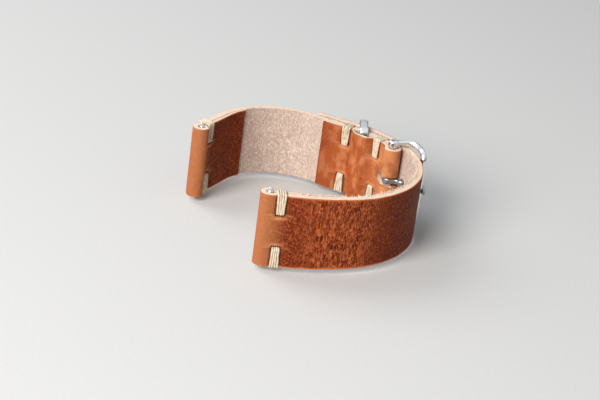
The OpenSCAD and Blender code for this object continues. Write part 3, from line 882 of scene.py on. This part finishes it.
# loose fibres along the raw edges of the flesh side
fuzzValues = {
    "seed": 5, "thickness": 0.15, "length": (0.45, 1.15), "points": 5, "taper": 0.18,
    "curl": 0.9, "crowding": 3.4, "clump": 0.9,  # clump: 1/mm
    # mm in from the edge, and to the flesh face; aim inwards, onwards and upwards
    "inset": 0.06, "depth": (-0.05, 0.5), "aim": ((-0.3, 0.9), (-1, 1), (0.25, 1.1)),
    # path, depth in the leather, from and to along it, hairs on the upper and on the lower edge
    "rows": [
        (longPath, 2.0, 7.0, 24.0, 110, 60), (longPath, 2.0, 24.0, 62.0, 800, 260),
        (longPath, 2.0, 62.0, 72.0, 160, 40), (longPath, 1.0, 72.0, 104.0, 110, 40),
        (shortPath, 2.0, 30.0, 52.0, 150, 110), (shortPath, 1.2, 4.0, 30.0, 70, 30),
    ],
}


def makeFuzz(p):
    dice = random.Random(p["seed"])
    fuzz = startCurve("edgeFibres")
    curve = fuzz.data
    curve.dimensions = "3D"
    for path, depth, start, stop, above, below in p["rows"]:
        for k in range(above + below):
            up = 1 if k < above else -1
            s = dice.uniform(start, min(stop, path.total - 9))
            tuft = 0.5 + 0.5 * noise.noise(Vector((s * p["clump"], up * 7.0, start)))
            if dice.random() > p["crowding"] * tuft ** 3:
                continue
            point, angle = path.station(s)
            inwards, onwards = -unitAt(angle), unitAt(angle + 90)
            place = point + inwards * (depth - dice.uniform(*p["depth"]))
            spot = Vector((*place, up * (halfWidth(place.x) - p["inset"])))
            a, b, c = (dice.uniform(*spread) for spread in p["aim"])
            aim = Vector((*(inwards * a + onwards * b), up * c)).normalized()
            step = dice.uniform(*p["length"]) * (0.4 + tuft) / (p["points"] - 1)
            curl = p["curl"]
            for n, hair in enumerate(addLine(curve, p["points"], False).points):
                hair.co = (*(spot / 1000), 1)
                hair.radius = 1 - p["taper"] * n
                turn = Vector([dice.uniform(-curl, curl) for _ in range(3)])
                aim = (aim + turn).normalized()
                spot = spot + aim * step
    curve.bevel_depth = p["thickness"] / 2000
    curve.bevel_resolution = 0
    curve.use_fill_caps = True
    fuzz = curveToMesh(fuzz)
    bpy.ops.object.shade_smooth()
    return fuzz


def fibreMaterial(looks):
    r = Recipe("looseFibre")
    place = r.node("ShaderNodeTexCoord", output=3)
    tone = r.blend(r.between(r.speckle(place, 1500, 2, 0.5), 0.4, 0.6),
                   looks["cutEdge"], looks["fleshPale"])
    return r.finish({"Base Color": tone, "Roughness": 0.9, "Specular IOR Level": 0.1})


edgeFibres = makeFuzz(fuzzValues)
edgeFibres.data.materials.append(fibreMaterial(leatherLooks))
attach(edgeFibres, "leather")
print("stage: edge fibres,", len(edgeFibres.data.polygons), "faces")

# waxed thread
threadValues = {
    "diameter": 0.64, "strands": 4, "plies": 3, "plyPoints": 5, "groove": 0.22,
    "lay": 1.9,  # mm a turn of the twist
    "edgePitch": 0.6, "holePitch": {"lug": 0.5, "buckle": 0.43},  # mm between strands
    "corner": 0.42, "points": 88, "slack": 0.06, "seed": 11,
    # mm from the leather to the strands' middles: its faces, the hole's wall, the edge
    "offFace": 0.02, "offHole": -0.12, "offEdge": 0.17, "jitter": (0.05, 0.05, 0.05, 0.06),
    # shade: a darker thread colour, for the thread's own mottled patches and for painted shade
    # between the plies
    "colour": (0.6, 0.48, 0.34), "shade": (0.3, 0.215, 0.13), "wax": (0.82, 0.74, 0.6),
}
stitchPairs = [
    # name and node without their ends, path, distance along it, kind of fold
    ("longLugStitch", "long_lug_stitch_", longPath, lugSpot, "lug"),
    ("shortLugStitch", "short_lug_stitch_", shortPath, shortTotal - lugSpot, "lug"),
    ("keeperStitch", "keeper_stitch_", shortPath, keeperSpot, "buckle"),
    ("buckleStitch", "buckle_stitch_", shortPath, buckleSpot, "buckle"),
]


def roundedCorners(corners, radius, count):
    # corners: middle and first angle of each quarter turn
    points = []
    for x, y, start in corners:
        for k in range(count):
            a = degreesTo(start + 90 * k / (count - 1))
            points.append((x + radius * math.cos(a), y + radius * math.sin(a)))
    return points


def strandLoop(low, high, inner, outer, radius, count):
    # a closed rounded rectangle: depth from low to high, width from inner to outer
    points = roundedCorners([
        (high - radius, outer - radius, 0), (low + radius, outer - radius, 90),
        (low + radius, inner + radius, 180), (high - radius, inner + radius, 270),
    ], radius, 6)
    # even spacing, so that the twist is even
    closed = points + points[:1]
    lengths = [0.0]
    for a, b in zip(closed, closed[1:]):
        lengths.append(lengths[-1] + math.hypot(b[0] - a[0], b[1] - a[1]))
    even, i = [], 0
    for k in range(count):
        target = lengths[-1] * k / count
        while lengths[i + 1] < target:
            i += 1
        share = (target - lengths[i]) / (lengths[i + 1] - lengths[i])
        even.append(tuple(mix(closed[i][n], closed[i + 1][n], share) for n in (0, 1)))
    return even, lengths[-1]


def threadMaterial(p):
    r = Recipe("waxedThread")
    place = r.node("ShaderNodeTexCoord", output=3)
    fibre = r.speckle(place, 5200, 3, 0.6)
    patch = r.speckle(place, 900, 2, 0.5)
    # hollow: painted shade between the plies; the patch row above is the thread's own mottling
    hollow = r.node("ShaderNodeAttribute", {"attribute_name": "hollow"}, output=2)
    colour = r.layers(
        p, "colour", (r.between(fibre, 0.35, 0.7), "wax"),
        (r.between(patch, 0.42, 0.68) * 0.45, "shade"), (hollow * 0.35, "shade"),
    )
    return r.finish(
        {"Base Color": colour, "Roughness": 0.42 + fibre * 0.25, "Specular IOR Level": 0.45},
        fibre, 0.4, 0.00003,
    )


def plySwell(k, p):
    # 1 on top of a ply, 0 in the hollow between two
    return abs(math.cos(math.pi * k / p["plyPoints"])) ** 0.8


def plyProfile(radius, p):
    # cross-section of a twisted thread
    count, groove = p["plies"] * p["plyPoints"], p["groove"]
    outline = []
    for k in range(count):
        reach = radius * (1 - groove + groove * plySwell(k, p))
        outline.append(reach * unitAt(360 * k / count))
    return closedProfile("threadSection", outline)


def makeStitch(name, path, s, stack, holePitch, up, seed, p):
    # strands side by side, through the hole and round the edge
    dice = random.Random(seed)
    point, outward = path.station(s)
    out, tangent = unitAt(outward), unitAt(outward + 90)
    half = halfWidth(point.x)
    hole = half - leatherValues["stitchInset"]
    thread = startCurve(name)
    curve = thread.data
    curve.dimensions = "3D"
    curve.twist_mode = "MINIMUM"
    face, jitter = p["offFace"], p["jitter"]
    sides = (-face, stack + face, hole + p["offHole"], half + p["offEdge"])
    for strand in range(p["strands"]):
        i = strand - (p["strands"] - 1) / 2
        sidesHere = [side + dice.uniform(-far, far) for side, far in zip(sides, jitter)]
        loop, length = strandLoop(*sidesHere, p["corner"], p["points"])
        line = addLine(curve, len(loop))
        turns = round(length / p["lay"])
        phase = dice.uniform(0, 2 * math.pi)
        for k, (depth, z) in enumerate(loop):
            pitch = mix(holePitch, p["edgePitch"], ramp(z, hole, half))
            wander = p["slack"] * noise.noise(Vector((k * 0.12, i * 9 + seed, 3.0)))
            flat = point + tangent * (i * pitch + wander) - out * depth
            line.points[k].co = (flat.x / 1000, flat.y / 1000, up * z / 1000, 1)
            line.points[k].tilt = phase + 2 * math.pi * turns * k / len(loop)
    curve.bevel_mode = "OBJECT"
    curve.bevel_object = plyProfile(p["diameter"] / 2000, p)
    thread = curveToMesh(thread)
    # painted shade: the hollows between the plies take the darker shade colour
    hollow = thread.data.attributes.new("hollow", "FLOAT", "POINT")
    ring = p["plies"] * p["plyPoints"]
    for index, place in enumerate(hollow.data):
        place.value = 1 - plySwell(index % ring, p)
    turnOutwards(thread)
    bpy.ops.object.shade_smooth()
    return thread


waxedThread = threadMaterial(threadValues)
halfBundle = leatherValues["bundle"] / 2
for row, (name, nodes, path, s, fold) in enumerate(stitchPairs):
    if fold == "lug":
        stack = lugFlapDepth(lugSpot - halfBundle, 0)
    else:
        stack = buckleFlapDepth(s - halfBundle, 0)
    for end, (side, up) in enumerate((("Top", 1), ("Bottom", -1))):
        node = nodes + side.lower()
        stitch = makeStitch(
            name + side, path, s, stack, threadValues["holePitch"][fold], up,
            threadValues["seed"] + 2 * row + end, threadValues,
        )
        stitch.data.materials.append(waxedThread)
        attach(stitch, "leather")
        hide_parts(node)
print("stage: stitches")

# steel
steelValues = {
    "worn": (0.55, 0.53, 0.5), "shade": 0.82,
    "finishes": {  # colour, roughness, depth of the scratches
        "polishedSteel": ((0.78, 0.785, 0.79), 0.14, 0.02),
        # painted shade: the tang's steel colour is darker than the frame's, for its place in the
        # shade of the slot; it is also rougher
        "dulledSteel": ((0.36, 0.36, 0.365), 0.34, 0.05),
        "turnedSteel": ((0.78, 0.785, 0.79), 0.24, 0.15),
        "drawnWire": ((0.42, 0.43, 0.45), 0.34, 0.2),
    },
}


def steelMaterial(name, colour, rough, scratch):
    r = Recipe(name)
    place = r.node("ShaderNodeTexCoord", output=3)
    cloud = r.speckle(place, 350, 3, 0.6)
    fine = r.speckle(place, (6000, 6000, 1080), 2, 0.6)
    wear = r.between(r.speckle(place, 1400, 4, 0.7), 0.58, 0.72)
    shade = tuple(steelValues["shade"] * c for c in colour)
    tone = r.blend(r.between(cloud, 0.35, 0.7) * 0.18, colour, shade)
    tone = r.blend(wear * 0.1, tone, steelValues["worn"])
    return r.finish(
        {"Base Color": tone, "Metallic": 1.0, "Roughness": rough + wear * 0.1 + fine * 0.05},
        fine + wear * 0.4, scratch, 0.00001,
    )


steels = {name: steelMaterial(name, *row) for name, row in steelValues["finishes"].items()}


def finishSteel(piece, finish, p):
    # the steel pieces are shaped in millimetres, then brought to metres
    piece.data.materials.clear()
    piece.data.materials.append(steels[finish])
    makeActive(piece)
    bpy.ops.object.transform_apply()
    piece.scale = (0.001, 0.001, 0.001)
    bpy.ops.object.transform_apply()
    bpy.ops.object.shade_smooth_by_angle(angle=degreesTo(p["smoothAngle"]))


def flatProfile(thickness, width):
    # cross-section of a flattened wire: gently crowned faces, rounded sides
    outline, count, crown = [], 32, 0.8
    for k in range(count):
        x, y = unitAt(360 * k / count)
        outline.append((thickness / 2 * math.copysign(abs(x) ** crown, x),
                        width / 2 * math.copysign(abs(y) ** crown, y)))
    return closedProfile("wireSection", outline)


def curveTube(name, route, radii, thickness, closed=False, width=None):
    # a wire along the route, as a curve that is made a mesh; a flattened wire, with a width,
    # follows a route in the x, y plane and is widest along z
    piece = startCurve(name)
    curve = piece.data
    curve.dimensions = "2D" if width else "3D"
    for point, place, radius in zip(addLine(curve, len(route), closed).points, route, radii):
        point.co = (*place, 1)
        point.radius = radius
    if width:
        curve.fill_mode = "NONE"
        curve.bevel_mode = "OBJECT"
        curve.bevel_object = flatProfile(thickness, width)
    else:
        curve.bevel_depth = thickness / 2
        curve.bevel_resolution = 8
    curve.use_fill_caps = not closed
    piece = curveToMesh(piece)
    turnOutwards(piece, 0.0005)
    return piece


keeperValues = {
    "thickness": 1.0, "width": 2.4, "corner": 1.1, "lean": 8.0, "play": 0.1, "endPlay": 0.45,
    "reach": 0.88,  # half the room that the leaning wire takes
    "smoothAngle": 40,
}


def makeKeeper(p):
    # a wire loop: inner bar between the plies, outer bar ahead of it, over the tail
    corner = p["corner"]
    innerRing = v["bendRadius"] - v["leather"] - p["play"] - p["reach"]
    outerRing = tailOuter + 2 * p["play"] + p["reach"]
    inner = atBend(innerRing, v["keeperAngle"])
    outer = atBend(outerRing, v["keeperAngle"] + p["lean"])
    height = round(halfWidth(inner.x) + p["endPlay"], 2) + p["thickness"] / 2
    length = (outer - inner).length
    turns = roundedCorners([
        (length - corner, height - corner, 0), (corner, height - corner, 90),
        (corner, corner - height, 180), (length - corner, corner - height, 270),
    ], corner, 13)
    loop = curveTube(
        "keeperLoop", [(x, y, 0) for x, y in turns], [1.0] * len(turns), p["thickness"],
        closed=True, width=p["width"],
    )
    loop.rotation_euler = (math.pi / 2, 0, degreesTo(angleOf(outer - inner)))
    loop.location = (inner.x, inner.y, 0)
    return loop


keeper = makeKeeper(keeperValues)
finishSteel(keeper, "polishedSteel", keeperValues)
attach(keeper, "keeper")
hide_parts("keeper")
print("stage: keeper")

buckleValues = {
    "wire": 1.7, "framePlay": 0.15, "sidePlay": 0.35, "outerBarAngle": -15.1, "cornerRadius": 2.2,
    "shoulderFillet": 2.2, "eye": 2.7, "eyeHeight": 1.9, "eyeRound": 0.45, "bore": 1.0,
    "smoothAngle": 35,
}
wireRadius = buckleValues["wire"] / 2
frameRing = tailOuter + buckleValues["framePlay"] + wireRadius
armHeight = round(halfWidth(buckleBar.x) + buckleValues["sidePlay"], 2) + wireRadius


def frameRoute(p):
    # from one eye over the shoulder, along the edge, round the corner and along the outer bar
    fillet, corner = p["shoulderFillet"], p["cornerRadius"]
    armStart = v["barAngle"] - math.degrees(math.asin(fillet / barRing))
    armStop = p["outerBarAngle"] + math.degrees(math.asin(corner / frameRing))
    outward, sideways = unitAt(armStart), unitAt(armStart + 90)
    arm = [buckleBar]
    for k in range(9):
        a = math.pi / 2 * k / 8
        arm.append(bendCentre + outward * (frameRing - fillet + fillet * math.sin(a))
                   + sideways * fillet * math.cos(a))
    arm += [atBend(frameRing, mix(armStart, armStop, k / 16)) for k in range(1, 17)]
    half = [Vector((*place, armHeight)) for place in arm]
    base, back = atBend(frameRing, armStop), unitAt(armStop - 90)
    for k in range(1, 10):
        a = math.pi / 2 * k / 9
        flat = base + back * corner * math.sin(a)
        half.append(Vector((*flat, armHeight - corner * (1 - math.cos(a)))))
    last = half[-1]
    half += [Vector((last.x, last.y, last.z * (1 - k / 8))) for k in range(1, 9)]
    return half + [Vector((place.x, place.y, -place.z)) for place in reversed(half[:-1])]


def makeFrame(p):
    route = frameRoute(p)
    body = curveTube("buckleFrameWire", route, [1.0] * len(route), p["wire"])
    for up in (1, -1):
        eye = addCylinder(
            (*buckleBar, up * armHeight), p["eye"] / 2, p["eyeHeight"], 48)
        bpy.ops.object.transform_apply()
        roundEdges(eye, p["eyeRound"], 4)
        combine(body, [eye], "UNION")
    bore = addCylinder((*buckleBar, 0), p["bore"] / 2, 4 * armHeight, 32)
    combine(body, [bore], "DIFFERENCE")
    return body


buckleFrame = makeFrame(buckleValues)
finishSteel(buckleFrame, "polishedSteel", buckleValues)
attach(buckleFrame, "buckle_frame")
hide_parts("buckle_frame")
print("stage: buckle frame")

tangValues = {
    "width": 1.6, "thickness": 1.0, "ring": 3.2, "play": 0.04, "pastBar": 3.2,
    "offset": 0.5, "ringThickness": 0.64, "tipShare": 0.55, "smoothAngle": 45,
    "curl": (-379, -80), "curlSteps": 26,  # degrees round the bar
}


def splinePoint(a, b, c, d, t):
    return 0.5 * (2 * b + (c - a) * t + (2 * a - 5 * b + 4 * c - d) * t * t
                  + (3 * b - 3 * c + d - a) * t ** 3)


def tangRoute(p):
    # curls round the spring bar, then runs out through the hole to the outer bar
    angle, barAt = leatherValues["tangHoleAngle"] - p["offset"], buckleValues["outerBarAngle"]
    t, width, ring = p["thickness"], p["width"], p["ring"] / 2
    rest = frameRing + wireRadius + p["play"] + t / 2

    def atBar(x, y):
        return buckleBar + unitAt(v["barAngle"]) * x + unitAt(v["barAngle"] + 90) * y

    knots = [
        atBar(width / 8, t / 2 - ring), atBar(width, t / 2 - ring - width / 2),
        atBend(tailInner - t / 5, angle), atBend(tailOuter + t / 4, angle),
        atBend(rest + t / 10, (angle + barAt) / 2), atBend(rest, barAt),
        atBend(rest - t / 3, barAt - p["pastBar"]),
    ]
    route, radii = [], []
    steps = p["curlSteps"]
    for k in range(steps + 1):  # the curl, from near the neck right round to it
        turn = unitAt(mix(*p["curl"], k / steps))
        route.append(atBar(*((ring - p["ringThickness"] / 2) * turn)))
        radii.append(p["ringThickness"] / t)
    last = len(knots) - 1
    for i in range(last):
        for k in range(1 if i == 0 else 0, 6):
            route.append(splinePoint(
                knots[max(i - 1, 0)], knots[i], knots[i + 1], knots[min(i + 2, last)], k / 6))
            radii.append(1.0 if i else 0.75 + 0.25 * k / 6)
    route.append(knots[-1])
    radii.append(p["tipShare"])
    for k in range(1, 7):
        radii[-1 - k] = mix(p["tipShare"], 1, ramp(k, 0, 6))
    return [(*point, 0) for point in route], radii


def makeTang(p):
    route, radii = tangRoute(p)
    tang = curveTube(
        "buckleTangWire", route, radii, p["thickness"], width=p["width"])
    half, full = p["width"] / 2, p["thickness"] / p["ringThickness"]
    for vertex in tang.data.vertices:  # the curl keeps the wire's full width
        past = (vertex.co.xy - buckleBar).length - p["ring"] / 2
        if past < 0.2:
            widened = vertex.co.z * mix(full, 1, ramp(past, -0.1, 0.2))
            vertex.co.z = max(-half, min(half, widened))
    return tang


tang = makeTang(tangValues)
# the tang gets the darker steel, painted shade for its place in the slot
finishSteel(tang, "dulledSteel", tangValues)
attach(tang, "buckle_tang")
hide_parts("buckle_tang")
print("stage: tang")

# spring bars keep their solids
for name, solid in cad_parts.items():
    if "_bar_" in name:
        finish = "drawnWire" if name.endswith("spring") else "turnedSteel"
        solid.data.materials.clear()
        solid.data.materials.append(steels[finish])
print("stage: spring bars")

bpy.context.scene.view_settings.view_transform = "Standard"
